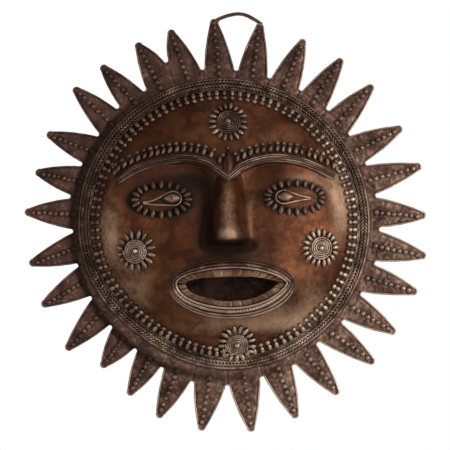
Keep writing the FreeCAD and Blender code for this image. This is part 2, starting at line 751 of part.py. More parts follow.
def write(nodes):
    os.makedirs("parts", exist_ok=True)
    shift = Vector(-LOOP_CROWN[0], 0, -LOOP_CROWN[1])
    for name, shape in nodes.items():
        shape.translate(shift)
        shape.exportStep("parts/%s.step" % name)
        box = shape.BoundBox
        print(name, len(shape.Solids), "solids", shape.isValid(), round(shape.Volume, 1), end=" ")
        print("x %.1f..%.1f" % (box.XMin, box.XMax), end=" ")
        print("y %.1f..%.1f z %.1f..%.1f" % (box.YMin, box.YMax, box.ZMin, box.ZMax))


write(build())
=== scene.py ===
import math

import bmesh
import bpy
import numpy as np
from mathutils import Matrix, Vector

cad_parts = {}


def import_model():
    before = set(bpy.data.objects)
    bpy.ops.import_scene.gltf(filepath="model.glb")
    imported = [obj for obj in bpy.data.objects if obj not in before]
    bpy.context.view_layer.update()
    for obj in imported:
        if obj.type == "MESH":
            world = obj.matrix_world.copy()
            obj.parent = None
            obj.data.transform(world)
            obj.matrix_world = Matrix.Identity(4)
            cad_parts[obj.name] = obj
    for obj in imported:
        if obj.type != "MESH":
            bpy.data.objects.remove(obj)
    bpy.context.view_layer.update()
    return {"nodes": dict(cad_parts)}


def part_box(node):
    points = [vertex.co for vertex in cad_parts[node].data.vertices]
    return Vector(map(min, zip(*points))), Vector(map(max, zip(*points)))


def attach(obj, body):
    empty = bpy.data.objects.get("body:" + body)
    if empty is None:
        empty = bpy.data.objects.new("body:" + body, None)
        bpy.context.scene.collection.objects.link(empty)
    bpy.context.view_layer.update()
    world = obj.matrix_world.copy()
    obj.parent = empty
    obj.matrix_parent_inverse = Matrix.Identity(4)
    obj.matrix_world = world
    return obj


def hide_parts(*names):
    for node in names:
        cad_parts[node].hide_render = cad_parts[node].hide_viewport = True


# Cast brass sun-face wall mask: the visual pieces that stand for the CAD nodes.
# Shapes are worked out in millimetres from the middle of the face disc, on the wall plane
# (X right, Y into the wall, Z up), and go into the scene in metres.

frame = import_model()

MM = 0.001
flange_low, flange_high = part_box("rim_flange")
DISC = np.array([
    (flange_low.x + flange_high.x) / 2, flange_high.y, (flange_low.z + flange_high.z) / 2,
])

# ---- Dimensions of the face, in millimetres

FLANGE_IN = 94.0
FLANGE_OUT = 102.6
FLANGE_THICK = 3.0
DOME_RADIUS = 92.0
DOME_RISE = 28.0
DOME_POWER = 3.2
DOME_SOFT = 1.0
# The rim's shift in X and Z, and its dent: angle from the top in degrees, width, depth.
RIM_LEAN = (-0.5, 1.2)
RIM_DENT = (217.0, 28.0, 4.6)
WALL = 2.6
WALL_MAX = 5.0

# Threads round the rim: radius of the ring, then of the thread.
RIM_THREADS = {
    "rim_outer_wire": [(101.3, 0.85)],
    "rim_braid_outer": [(99.3, 1.15)],
    "rim_braid_inner": [(97.0, 1.15)],
    "rim_inner_wires": [(95.1, 0.6), (93.9, 0.6)],
}
SINK = 0.35

BROW = [
    (-73.9, 31.5), (-60.6, 39.9), (-44.5, 44.7), (-28.4, 46.9), (-12.3, 44.0), (-4.6, 38.6),
    (2.5, 33.3), (11.6, 40.8), (23.5, 45.7), (35.7, 47.3), (51.8, 45.3), (65.9, 40.0), (76.0, 34.2),
]
BROW_ROOT = 6
BROW_WIRES = (-1.8, -0.6, 0.6, 1.8)
BROW_WIRE = 0.68
BROW_LEDGE = 1.9
BROW_LEDGE_HALF = 3.1

SOCKET_SIDE = 3.0
SOCKET_NOSE = 7.0
SOCKET_NOSE_AT = 17.0
SOCKET_NOSE_WIDE = 19.0
SOCKET_REACH = 60.0
SOCKET_END = 16.0
SOCKET_EDGE = 4.2
SOCKET_FADE = (8.0, 42.0)

# Nose: each pair runs from its top to its base.
NOSE_TOP = 33.5
NOSE_BASE = -8.8
NOSE_X = (2.5, 1.2)
NOSE_CREST = (3.0, 8.3)
NOSE_LEFT = (6.0, 6.5)
NOSE_RIGHT = (7.5, 8.5)
NOSE_LIFT = (0.5, 19.0)
NOSE_ROUND = 0.1
NOSE_UNDER = 5.0
NOSE_START = (0.12, 0.2)
NOSE_POWER = 0.9

MOUTH_X = 5.0
MOUTH_Z = -39.5
MOUTH_TILT = 0.012
# Lip outlines: half width, rise, drop, and how pointed the right corner is.
LIP_OUTER = (43.0, 16.3, 23.5, 0.0)
LIP_SECOND = (41.7, 14.8, 21.8, 0.15)
LIP_TWIST = (40.3, 13.0, 19.4, 0.4)
LIP_INNER = (38.6, 11.2, 17.4, 0.5)
MOUTH_EDGE = (37.6, 10.2, 16.4, 0.5)
LIP_FOOT = 3.0
LIP_CREST = 3.2
LIP_FADE = 0.4
LIP_ROLL = 0.68
POCKET_WALL = 1.6

# Eyes: round end, tip, half height of the loop.
EYES = {
    "eye_left_rim": ((-35.6, 18.9), (-56.1, 16.0), 4.8),
    "eye_right_rim": ((40.9, 20.0), (59.7, 19.2), 4.5),
}
EYE_ROUND = 1.15
# Leaf: base, widest place, top.
LEAF = (34.5, 42.5, 52.5)
LEAF_WIDE = 3.5
LOOP_PATH = [
    (-6.8, 143.4), (-2.0, 145.7), (3.8, 147.6), (9.5, 148.4), (15.0, 147.5), (20.8, 144.6), (25.8, 141.2),
]
# Each foot of the loop: X and Z, width, direction.
LOOP_FEET = (((-6.2, 142.6), 3.6, (0.9, 0.0, 0.45)), ((25.1, 140.9), 3.0, (0.75, 0.0, -0.6)))

# Ray plates: height of the edge, what is added inside it and along the middle, how much the back
# is rounded up at the edge, and the overlap on the next plate.
RAY_COUNT = 29
RAY_EDGE = 1.15
RAY_RIM = 1.05
RAY_CUSHION = 0.45
RAY_BACK = 0.85
RAY_LAP = 0.35
# Threads: thickness as a radius, place, and the length of one twist.
RAY_THREAD = 0.68
RAY_THREAD_AWAY = 0.6
RAY_THREAD_Y = -2.5
RAY_TWIST = 1.6
LIP_TWIST_PITCH = 2.3
BRAID_PITCH = 4.8
BRAID_SWELL = 1.12
EYE_THREAD = 0.66
LOOP_THREAD = 0.68
LOOP_Y = -0.75
COIL_TURNS = 5
# Section of a coil's backing disc, from its back to its front: shares of its radius and its height.
COIL_PLATE = [
    (0.2, -0.5), (0.75, -0.5), (0.97, -0.42), (1.0, 0.05), (0.95, 0.28), (0.6, 0.30), (0.2, 0.36),
]
FORWARD = np.array([0.0, -1.0, 0.0])


# ---- Shape of the face

def ease(t):
    t = np.clip(t, 0, 1)
    return t * t * (3.0 - 2.0 * t)


def mix(pair, t):
    return pair[0] + (pair[1] - pair[0]) * np.clip(t, 0, 1)


def unit(rows):
    return rows / np.maximum(np.linalg.norm(rows, axis=-1, keepdims=True), 1e-12)


def once_round(count):
    """Angles once round, evenly apart."""
    return 2 * math.pi * np.arange(count) / count


def join(x, y, z):
    """Points from coordinates that are numbers or arrays."""
    return np.stack(np.broadcast_arrays(x, y, z), -1)


def spokes(turn, side, top):
    """Directions at some angles from side towards top."""
    return np.cos(turn)[..., None] * side + np.sin(turn)[..., None] * top


def through(points, x):
    """Height at x of a smooth line through the points, which run from left to right."""
    px, pz = np.array(points, float).T
    slope = np.empty_like(px)
    slope[1:-1] = (pz[2:] - pz[:-2]) / (px[2:] - px[:-2])
    slope[0] = (pz[1] - pz[0]) / (px[1] - px[0])
    slope[-1] = (pz[-1] - pz[-2]) / (px[-1] - px[-2])
    x = np.clip(x, px[0], px[-1])
    i = np.clip(np.searchsorted(px, x, side="right") - 1, 0, len(px) - 2)
    run = px[i + 1] - px[i]
    t = (x - px[i]) / run
    bend = t * (1 - t) * run * ((1 - t) * slope[i] - t * slope[i + 1])
    return pz[i] + (pz[i + 1] - pz[i]) * ease(t) + bend


def brow_line(x):
    left = through(BROW[:BROW_ROOT + 1], x)
    right = through(BROW[BROW_ROOT:], x)
    return np.where(x < BROW[BROW_ROOT][0], left, right)


def brow_reach(x):
    return 1 - ease((np.abs(x - NOSE_X[0]) - SOCKET_REACH) / SOCKET_END)


def rim_shift(turn):
    """How far the hand-laid rim stands out from a true circle, by the angle from the top."""
    middle, width, depth = RIM_DENT
    away = (np.degrees(turn) - middle + 180.0) % 360.0 - 180.0
    return RIM_LEAN[0] * np.sin(turn) + RIM_LEAN[1] * np.cos(turn) - depth * np.exp(-(away / width) ** 2)


def dome(x, z):
    share = np.hypot(x, z) / (DOME_RADIUS + rim_shift(np.arctan2(x, z)))
    rise = DOME_RISE * (1 - share ** DOME_POWER)
    return FLANGE_THICK + 0.5 * (rise + np.hypot(rise, DOME_SOFT))


def nose(x, z):
    """The nose's share of a point and its lift there."""
    t = (NOSE_TOP - z) / (NOSE_TOP - NOSE_BASE)
    aside = x - mix(NOSE_X, t)
    crest = mix(NOSE_CREST, t)
    flank = np.where(aside > 0, mix(NOSE_RIGHT, t), mix(NOSE_LEFT, t))
    across = 1 - ease((np.abs(aside) - crest) / flank)
    across = across * ease((t + NOSE_START[0]) / NOSE_START[1])
    across = across * (1 - ease((NOSE_BASE - z) / NOSE_UNDER))
    lift = mix(NOSE_LIFT, np.maximum(0.0, t) ** NOSE_POWER)
    return across, lift * (1 - NOSE_ROUND * np.minimum(1.0, (aside / crest) ** 2))


def socket(x, z):
    below = brow_line(x) - z
    beside = (np.abs(x - NOSE_X[0]) - SOCKET_NOSE_AT) / SOCKET_NOSE_WIDE
    deep = SOCKET_SIDE + SOCKET_NOSE * np.exp(-beside * beside)
    fade = 1 - ease((below - SOCKET_FADE[0]) / SOCKET_FADE[1])
    return deep * brow_reach(x) * ease(below / SOCKET_EDGE) * fade


def mouth_share(x, z, outline):
    half, rise, drop = outline[:3]
    above = z - MOUTH_Z - MOUTH_TILT * (x - MOUTH_X)
    return np.hypot((x - MOUTH_X) / half, above / np.where(above > 0, rise, drop))


def lips(x, z):
    outer = mouth_share(x, z, LIP_OUTER)
    inner = mouth_share(x, z, LIP_INNER)
    foot = LIP_FOOT * (1 - ease((outer - 1.0) / LIP_FADE))
    band = (1 - outer) / ((1 - outer) + np.maximum(0.0, inner - 1.0) + 1e-9)
    crest = LIP_FOOT + LIP_CREST * np.sin(LIP_ROLL * math.pi * np.clip(band, 0, 1))
    return np.where(outer >= 1.0, foot, crest)


def face_height(x, z):
    """How far the face's front surface stands in front of the wall plane."""
    on_nose, lift = nose(x, z)
    ledge = BROW_LEDGE * np.exp(-((z - brow_line(x)) / BROW_LEDGE_HALF) ** 2) * brow_reach(x)
    return dome(x, z) + ledge - socket(x, z) * (1 - on_nose) + lift * on_nose + lips(x, z)


def face_slope(x, z):
    step = 0.5
    across = (face_height(x + step, z) - face_height(x - step, z)) / (2 * step)
    up = (face_height(x, z + step) - face_height(x, z - step)) / (2 * step)
    return across, up


def on_face(x, z, lift=0.0):
    """Points of the face, raised along the outward normals, and those normals."""
    across, up = face_slope(x, z)
    normal = unit(join(-across, -1.0, -up))
    return join(x, -face_height(x, z), z) + normal * lift, normal


def wall_depth(x, z):
    """The sheet's thickness along Y, which grows where the face is steep."""
    across, up = face_slope(x, z)
    return np.minimum(WALL_MAX, WALL * np.sqrt(1 + across ** 2 + up ** 2))


def mouth_line(outline, count):
    """Points of a lip outline in X and Z, once round."""
    half, rise, drop, sharp = outline
    turn = once_round(count)
    power = 1 + sharp * 0.5 * (1 + np.cos(turn))
    up = np.sin(turn)
    x = MOUTH_X + half * np.cos(turn)
    away = np.abs(up) ** power * np.where(up > 0, rise, -drop)
    return x, MOUTH_Z + MOUTH_TILT * (x - MOUTH_X) + away


def noise(points, size, seed):
    """Smooth seeded noise from -1 to 1 whose features have the given size."""
    table = np.random.RandomState(seed).uniform(-1, 1, 4096)
    cell = np.asarray(points, float) / size
    base = np.floor(cell).astype(np.int64)
    part = ease(cell - base)
    total = np.zeros(part.shape[:-1])
    for corner in range(8):
        step = np.array([corner & 1, corner >> 1 & 1, corner >> 2 & 1])
        key = base + step
        index = (key[..., 0] * 73856093 ^ key[..., 1] * 19349663 ^ key[..., 2] * 83492791) & 4095
        total += np.prod(np.where(step, part, 1 - part), axis=-1) * table[index]
    return total


# Soot and painted shadow spots: the dark beside and under the nose, on the nose's right flank, in the
# sockets and under the brows is painted shadow and shade, with some soot.
SOOT_AND_SHADOW_SPOTS = [
    # X, Z, half width, half height, strength
    (-11.5, 8, 6.5, 19, 0.9), (-12, -8, 8, 9, 0.6), (1.5, -14.5, 17, 6, 1),
    (17, -13, 7, 5.5, 0.8), (-22, 30, 17, 11, 0.6), (-44, 33, 24, 6.5, 0.45),
    (-36, 8, 16, 6, 0.25), (-62, 20, 8, 12, 0.25), (26, 33, 12, 8, 0.12),
    (48, 34, 22, 5, 0.35), (24, 22, 5, 12, 0.25), (-26, 10, 12, 18, 0.25),
    (-20, 62, 50, 14, 0.12), (-45, 60, 30, 16, 0.12), (6, -23, 40, 3, 0.45),
    (-42, -36, 4, 14, 0.45), (52, -36, 4, 14, 0.3), (12, 8, 3.8, 16, 0.45),
    (37, -4, 16, 16, 0.32),
]


def spotted(amount, spots, x, z):
    """The amount, with soft oval spots added to it."""
    for cx, cz, half_x, half_z, strength in spots:
        amount = amount + strength * np.exp(-((x - cx) / half_x) ** 2 - ((z - cz) / half_z) ** 2)
    return amount


def soot_and_shadow(points):
    """How much soot and painted shade each point gets: black in the corners that no cloth reaches, with
    painted shadow beside and under the nose and painted shade in the sockets and under the brows.
    """
    x, z = points[:, 0], points[:, 2]
    amount = spotted(0.0, SOOT_AND_SHADOW_SPOTS, x, z)
    # Painted shade on the webs between the ray roots, darker towards the left.
    webs = np.exp(-((np.hypot(x, z) - 106.5) / 4.0) ** 2)
    amount += webs * np.clip(0.42 - 0.45 * (x + 0.2 * z) / 100.0, 0.0, 0.8)
    return np.clip(amount, 0, 1)


def pellet_gap_shade(x, z):
    """Painted shade between the pellets above the brows and between the lashes round each eye."""
    above = np.exp(-((z - brow_line(x) - 7.0) / 4.0) ** 2)
    amount = 0.6 * above * ease((78.0 - np.abs(x)) / 8.0)
    for (cx, cz), (tx, tz), half in EYES.values():
        beside = (x - (cx + tx) / 2) / (abs(cx - tx) / 2 + half + 4.0)
        away = np.hypot(beside, (z - (cz + tz) / 2) / (half + 4.5))
        amount = np.maximum(amount, 0.75 * np.exp(-((away - 1.0) / 0.3) ** 2))
    return amount


# ---- Meshes

class Lump:
    """The vertices and faces gathered for one piece."""

    def __init__(self):
        self.points = []
        self.faces = []
        self.wear_and_highlight = []
        self.dirt_and_shade = []
        self.count = 0

    def add(self, points, faces, wear_and_highlight):
        points = points.reshape(-1, 3)
        self.faces += [some + self.count for some in faces]
        self.points.append(points)
        self.wear_and_highlight.append(np.broadcast_to(np.asarray(wear_and_highlight, float).reshape(-1), (len(points),)))
        self.dirt_and_shade.append(soot_and_shadow(points))
        self.count += len(points)


def grid_quads(rows, cols, closed=False):
    """The faces of a grid whose columns run round, and whose rows do too if it is closed."""
    row = np.arange(rows if closed else rows - 1)[:, None]
    col = np.arange(cols)
    after = (row + 1) % rows
    beside = (col + 1) % cols
    corners = [row * cols + col, row * cols + beside, after * cols + beside, after * cols + col]
    return np.stack(corners, -1).reshape(-1, 4)


def loft(lump, rings, wear_and_highlight, closed=False, dome=0.0):
    """Skin a row of rings of points, and close its ends unless it runs round."""
    rings = np.asarray(rings, float)
    rows, sides = rings.shape[:2]
    quads = grid_quads(rows, sides, closed)
    wear_and_highlight = np.asarray(wear_and_highlight, float)
    wear_and_highlight = np.broadcast_to(wear_and_highlight.reshape(-1, 1) if wear_and_highlight.ndim < 2 else wear_and_highlight, (rows, sides))
    if closed:
        lump.add(rings, [quads], wear_and_highlight)
        return
    middles = rings.mean(1)
    run = unit(np.stack([middles[0] - middles[1], middles[-1] - middles[-2]]))
    ends = np.stack([middles[0], middles[-1]]) + run * dome
    tip = rows * sides
    around = np.arange(sides)
    beside = (around + 1) % sides
    base = (rows - 1) * sides
    cap_0 = join(beside, around, tip)
    cap_1 = join(base + around, base + beside, tip + 1)
    wear_and_highlight = np.concatenate([wear_and_highlight.reshape(-1), wear_and_highlight[0, :1], wear_and_highlight[-1, :1]])
    lump.add(np.concatenate([rings.reshape(-1, 3), ends]), [quads, cap_0, cap_1], wear_and_highlight)


def axes_along(path, normals, closed):
    """Two directions square to a path at each of its points."""
    if closed:
        tangent = unit(np.roll(path, -1, 0) - np.roll(path, 1, 0))
    else:
        tangent = unit(np.gradient(path, axis=0))
    across = unit(np.cross(tangent, normals))
    return across, np.cross(across, tangent)


def sweep(lump, path, normals, radius, wear_and_highlight, sides=8, closed=False):
    """A wire along a path, of one radius, one for each point, or one for each point and side."""
    across, up = axes_along(path, normals, closed)
    radius = np.asarray(radius, float)
    radius = radius.reshape(-1, 1) if radius.ndim < 2 else radius
    radius = np.broadcast_to(radius, (len(path), sides))[..., None]
    rings = path[:, None] + radius * spokes(once_round(sides), across[:, None], up[:, None])
    loft(lump, rings, wear_and_highlight, closed, radius.mean() * 0.6)


def lengths_of(path):
    return np.concatenate([[0.0], np.cumsum(np.linalg.norm(np.diff(path, axis=0), axis=1))])


def evenly(path, step, closed=False):
    """The same path with points an even step apart."""
    if closed:
        path = np.concatenate([path, path[:1]])
    length = lengths_of(path)
    count = max(4, round(length[-1] / step))
    places = np.linspace(0.0, length[-1], count + 1)
    places = places[:-1] if closed else places
    return np.stack([np.interp(places, length, path[:, k]) for k in range(path.shape[1])], -1)


def smooth_line(points, count):
    """A smooth line through a few points."""
    points = np.asarray(points, float)
    padded = np.concatenate([[2 * points[0] - points[1]], points, [2 * points[-1] - points[-2]]])
    place = np.linspace(0, len(points) - 1 - 1e-9, count)
    i = place.astype(int)
    t = (place - i)[:, None]
    a, b, c, d = (padded[i + k] for k in range(4))
    square = 2 * a - 5 * b + 4 * c - d
    cube = 3 * b - a - 3 * c + d
    return 0.5 * (2 * b + (c - a) * t + square * t ** 2 + cube * t ** 3)


def whole_twists(path, pitch):
    """The pitch nearest to the given one that goes round a closed path a whole number of times."""
    total = lengths_of(path)[-1] + np.linalg.norm(path[0] - path[-1])
    return total / round(total / pitch)


def twine(lump, path, normals, radius, pitch, wear_and_highlight, sides=8, closed=False):
    """A thread of two strands twisted so tightly that they read as ridges on one wire."""
    pitch = whole_twists(path, pitch) if closed else pitch
    twist = math.pi * lengths_of(path)[:, None] / pitch
    ridge = np.cos(2 * (once_round(sides) - twist))
    sweep(lump, path, normals, radius * (0.86 + 0.2 * ridge), wear_and_highlight, sides, closed)


def braid(lump, path, normals, radius, pitch, hand, wear_and_highlight):
    """Two separate strands wound round each other, once round the rim."""
    pitch = whole_twists(path, pitch)
    across, up = axes_along(path, normals, True)
    for strand in (0.0, math.pi):
        turn = hand * 2 * math.pi * lengths_of(path) / pitch + strand
        centre = path + 0.5 * radius * spokes(turn, across, up)
        size = 0.54 * radius * (1 + 0.08 * noise(centre, 2.5, 5))
        sweep(lump, centre, normals, size, wear_and_highlight, 7, True)


def pellet(lump, centre, along, normal, length, width, seed, blunt, wear_and_highlight, rows=9, sides=10):
    """A seed of wax: long, round across, a little uneven, and flattened where it sits."""
    random = np.random.RandomState(seed)
    along = unit(along)
    across = unit(np.cross(along, normal))
    up = np.cross(across, along)
    t = np.linspace(0.04, 0.96, rows)
    radius = width / 2 * np.sin(math.pi * t) ** blunt * (1 + 0.5 / rows * random.uniform(-1, 1, rows))
    sway = 0.05 * width * random.uniform(-1, 1) * np.sin(math.pi * t)
    middle = centre + along * ((t - 0.5) * length)[:, None] + across * sway[:, None]
    turn = once_round(sides)
    lift = np.where(np.sin(turn) < 0, 0.75, 1.0) * np.sin(turn)
    spoke = np.cos(turn)[:, None] * across + lift[:, None] * up
    # Painted light: the top of each pellet is painted brighter than its underside.
    shade = np.clip(wear_and_highlight * (0.35 + 0.65 * (0.5 + 0.5 * np.sin(turn))), 0, 1)
    rings = middle[:, None] + radius[:, None, None] * spoke
    loft(lump, rings, np.tile(shade, (rows, 1)), dome=0.03 * length)


def placed(name, data):
    """A new object in the scene."""
    thing = bpy.data.objects.new(name, data)
    bpy.context.scene.collection.objects.link(thing)
    return thing


def turn_outwards(mesh, merge=0.0):
    """Turn all faces of a mesh outwards, after merging points nearer than a distance in metres."""
    work = bmesh.new()
    work.from_mesh(mesh)
    if merge:
        bmesh.ops.remove_doubles(work, verts=work.verts, dist=merge)
    bmesh.ops.recalc_face_normals(work, faces=work.faces)
    work.to_mesh(mesh)
    work.free()


def piece(name, lump, nodes, material):
    """Make the gathered mesh a piece of the mask, in place of its CAD nodes."""
    points = DISC + np.concatenate(lump.points) * MM
    faces = [face for some in lump.faces for face in some.tolist()]
    mesh = bpy.data.meshes.new(name)
    mesh.from_pydata(points.tolist(), [], faces)
    mesh.shade_smooth()
    # The first attribute carries painted highlights and painted side light as well as wear, the second
    # painted shade and shadow as well as soot.
    for key, rows in (("wear_and_highlight", lump.wear_and_highlight), ("dirt_and_shade", lump.dirt_and_shade)):
        mesh.attributes.new(key, "FLOAT", "POINT").data.foreach_set("value", np.concatenate(rows))
    turn_outwards(mesh)
    mesh.materials.append(material)
    thing = placed(name, mesh)
    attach(thing, "root")
    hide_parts(*nodes)
    return thing


# ---- What the CAD nodes say

def node_mesh(node):
    """Vertices in millimetres about the disc, with doubles merged, and the edges between them."""
    mesh = frame["nodes"][node].data
    points = np.empty(len(mesh.vertices) * 3)
    mesh.vertices.foreach_get("co", points)
    points = (points.reshape(-1, 3) - DISC) / MM
    edges = np.empty(len(mesh.edges) * 2, np.int64)
    mesh.edges.foreach_get("vertices", edges)
    merged, where = np.unique(points.round(3), axis=0, return_inverse=True)
    return merged, where.reshape(-1)[edges.reshape(-1, 2)]


def solids_of(node):
    """The points of each separate solid of a node."""
    points, edges = node_mesh(node)
    label = np.arange(len(points))
    while True:
        low = label[edges].min(1)
        fresh = label.copy()
        np.minimum.at(fresh, edges, low[:, None])
        fresh = fresh[fresh]
        if (fresh == label).all():
            break
        label = fresh
    return [points[label == k] for k in np.unique(label)]


def frame_of(points):
    """Middle of a solid's box along its own axes, those axes (longest first) and its sizes."""
    mean = points.mean(0)
    axes = np.linalg.eigh(np.cov((points - mean).T))[1][:, ::-1].T
    spread = (points - mean) @ axes.T
    middle = mean + ((spread.max(0) + spread.min(0)) / 2) @ axes
    return middle, axes, spread.max(0) - spread.min(0)


def lean(x, z):
    """How far a hand-bent ray comes forward or goes back at a point, in millimetres."""
    reach = np.hypot(x, z)
    bend = 1.3 * noise(join(x / reach, z / reach, 0.0), 0.16, 71) + 0.4
    return bend * np.maximum(0.0, (reach - 104.0) / 40.0) ** 1.6


def bent(points):
    """Points of a ray, moved with its bend."""
    points = np.array(points, float)
    points[..., 1] -= lean(points[..., 0], points[..., 2])
    return points


# ---- Materials

class Shader:
    """The node tree of a material or a world, built a node at a time."""

    def __init__(self, owner):
        owner.use_nodes = True
        self.tree = owner.node_tree
        self.tree.nodes.clear()

    def node(self, kind, inputs=(), **settings):
        made = self.tree.nodes.new("ShaderNode" + kind)
        for key, value in settings.items():
            setattr(made, key, value)
        for key, value in dict(inputs).items():
            if isinstance(value, bpy.types.NodeSocket):
                self.tree.links.new(value, made.inputs[key])
            else:
                made.inputs[key].default_value = value
        return made

    def math(self, operation, a, b):
        return self.node("Math", {0: a, 1: b}, operation=operation).outputs[0]

    def span(self, value, low, high, to_low=0.0, to_high=1.0):
        inputs = {"Value": value, "From Min": low, "From Max": high, "To Min": to_low, "To Max": to_high}
        return self.node("MapRange", inputs, interpolation_type="SMOOTHSTEP").outputs[0]

    def blend(self, share, a, b):
        a, b = (c if isinstance(c, bpy.types.NodeSocket) else (*c, 1.0) for c in (a, b))
        return self.node("Mix", {0: share, 6: a, 7: b}, data_type="RGBA").outputs[2]

    def noise(self, place, scale, detail, distortion=0.0):
        inputs = {
            "Vector": place, "Scale": scale, "Detail": detail, "Roughness": 0.6, "Distortion": distortion,
        }
        return self.node("TexNoise", inputs).outputs["Fac"]

    def mottled(self, value, pattern, strength):
        """A value made uneven by a noise pattern, up and down by half the strength."""
        swing = self.math("MULTIPLY", self.math("SUBTRACT", pattern, 0.5), strength)
        return self.math("ADD", value, swing)


def brass(name, dark, body, bright, rough, metal, grain, wear_and_highlight_max=1.0, cavity=(0.35, 0.9), reach=0.004,
          grime_and_shade=(0.009, 0.005, 0.004)):
    """Patinated cast brass: mottled skin, worn high parts with painted highlights, the dark patina of the
    hollows with painted shade over it, soot and painted shadow, cast grain.

    rough is for the dull and the rubbed and highlighted parts, cavity the openness from which and up to
    which the painted shade thins out, and reach how near, in metres, a neighbour has to be to shade a
    point.
    """
    material = bpy.data.materials.new(name)
    s = Shader(material)
    place = s.node("TexCoord").outputs["Object"]
    broad = s.noise(place, 75.0, 4.0, 0.4)
    fine = s.noise(place, 420.0, 4.0)
    pits = s.noise(place, 1500.0, 2.0)
    wear_and_highlight = s.node("Attribute", attribute_name="wear_and_highlight").outputs["Fac"]
    dirt_and_shade = s.node("Attribute", attribute_name="dirt_and_shade").outputs["Fac"]
    # Painted shade: the ambient occlusion darkens the colour, together with the patina's dark oxide,
    # where near neighbours close a point in.
    shut = s.node("AmbientOcclusion", {"Distance": reach}, samples=6).outputs["AO"]
    open_air = s.span(shut, *cavity)
    colour = s.blend(s.span(broad, 0.36, 0.64), dark, body)
    colour = s.blend(s.span(fine, 0.40, 0.70, 0.0, 0.45), colour, dark)
    colour = s.blend(s.span(pits, 0.45, 0.75, 0.0, 0.55), colour, dark)
    # The rubbed colour is wear together with painted highlights and painted side light.
    rub_and_highlight = s.mottled(s.mottled(s.mottled(wear_and_highlight, fine, 0.6), broad, 0.45), pits, grain * 0.8)
    rub_and_highlight = s.span(rub_and_highlight, 0.16, 1.1, 0.0, wear_and_highlight_max)
    # Soot and painted shadow from the soot and shade attribute take the metal to the dark colour too.
    free_of_dirt_and_shade = s.span(s.mottled(dirt_and_shade, broad, 0.6), 0.10, 0.90, 1.0, 0.06)
    open_air = s.math("MULTIPLY", open_air, free_of_dirt_and_shade)
    rub_and_highlight = s.math("MULTIPLY", rub_and_highlight, open_air)
    colour = s.blend(rub_and_highlight, colour, bright)
    colour = s.blend(s.math("SUBTRACT", 1.0, open_air), colour, grime_and_shade)
    roughness = s.span(rub_and_highlight, 0.0, 1.0, rough[0], rough[1])
    roughness = s.math("ADD", roughness, s.span(fine, 0.3, 0.7, -0.06, 0.08))
    bump = s.node("Bump", {"Strength": grain, "Distance": 0.0006, "Height": fine}).outputs[0]
    bump = s.node("Bump", {"Strength": grain * 0.8, "Distance": 0.00025, "Height": pits, "Normal": bump})
    shine = s.node("BsdfPrincipled", {
        "Base Color": colour, "Metallic": s.span(open_air, 0.0, 1.0, 0.1, metal), "Roughness": roughness,
        "Specular IOR Level": s.span(open_air, 0.0, 1.0, 0.05, 0.5), "Normal": bump.outputs[0],
    })
    s.node("OutputMaterial", {"Surface": shine.outputs[0]})
    return material


FACE = brass("face_patina", (0.055, 0.017, 0.007), (0.15, 0.049, 0.016), (0.42, 0.27, 0.175),
             rough=(0.50, 0.38), metal=0.8, grain=0.3, cavity=(0.25, 0.8), reach=0.012)
RAY = brass("ray_patina", (0.046, 0.019, 0.013), (0.135, 0.061, 0.042), (0.42, 0.27, 0.20),
            rough=(0.60, 0.42), metal=0.65, grain=0.9, wear_and_highlight_max=0.8, cavity=(0.2, 0.75), reach=0.002)
THREAD = brass("thread_patina", (0.055, 0.028, 0.019), (0.135, 0.075, 0.05), (0.48, 0.35, 0.27),
               rough=(0.5, 0.36), metal=0.8, grain=0.35, cavity=(0.3, 0.8), reach=0.0018)
BEAD = brass("bead_patina", (0.08, 0.046, 0.033), (0.20, 0.125, 0.092), (0.54, 0.41, 0.32),
             rough=(0.52, 0.36), metal=0.8, grain=0.25, cavity=(0.12, 0.6), reach=0.0014)
TOOTH = brass("tooth_patina", (0.08, 0.034, 0.017), (0.20, 0.105, 0.055), (0.50, 0.34, 0.23),
              rough=(0.52, 0.38), metal=0.8, grain=0.6, reach=0.003)
# Near-black patina for the inside of the mouth: painted shade.
POCKET_SHADE = brass("mouth_shade_patina", (0.008, 0.004, 0.003), (0.03, 0.014, 0.009), (0.16, 0.075, 0.045),
               rough=(0.6, 0.42), metal=0.9, grain=0.6, wear_and_highlight_max=0.8, grime_and_shade=(0.006, 0.003, 0.002))


# ---- Pieces

# Where hands and polishing cloths have rubbed the face bright, and painted highlights where the lamps'
# reflections fall on the cheek edges, the jaw and the valley right of the nose; given as the soot and
# shadow spots are.
WEAR_AND_HIGHLIGHT_SPOTS = [
    (82, 18, 8, 32, 0.75), (-80, -8, 9, 28, 0.6), (62, -54, 17, 20, 0.5),
    (46, -68, 22, 10, 0.5), (-62, -46, 14, 24, 0.5), (-24, -72, 26, 10, 0.15),
    (19, 13, 4, 19, 0.35), (3, -5.5, 9, 4.5, 0.8), (2, 12, 4.5, 20, 0.55),
    (50, 34, 14, 3.5, 0.45), (10, -68, 32, 7, 0.5), (66, 28, 9, 11, 0.35),
    (34, -56, 12, 6, 0.3), (-20, 62, 40, 12, 0.15), (40, 62, 22, 12, 0.18),
]


def softened(x, z):
    """The face's height, with the creases at the foot of the nose rounded out."""
    total = face_height(x, z)
    rings = (1.5, 3.2, 5.2)
    turns = np.arange(8) * math.pi / 4
    for reach in rings:
        for turn in turns:
            total = total + face_height(x + reach * math.cos(turn), z + 0.4 * reach * math.sin(turn))
    count = 1 + len(rings) * len(turns)
    share = ease(1.4 - np.hypot((x - 1.5) / 28.0, (z - 6.0) / 22.0))
    share = share * (0.3 + 0.7 * ease((np.abs(x - 2.0) - 4.0) / 4.0))
    return face_height(x, z) * (1 - share) + total / count * share


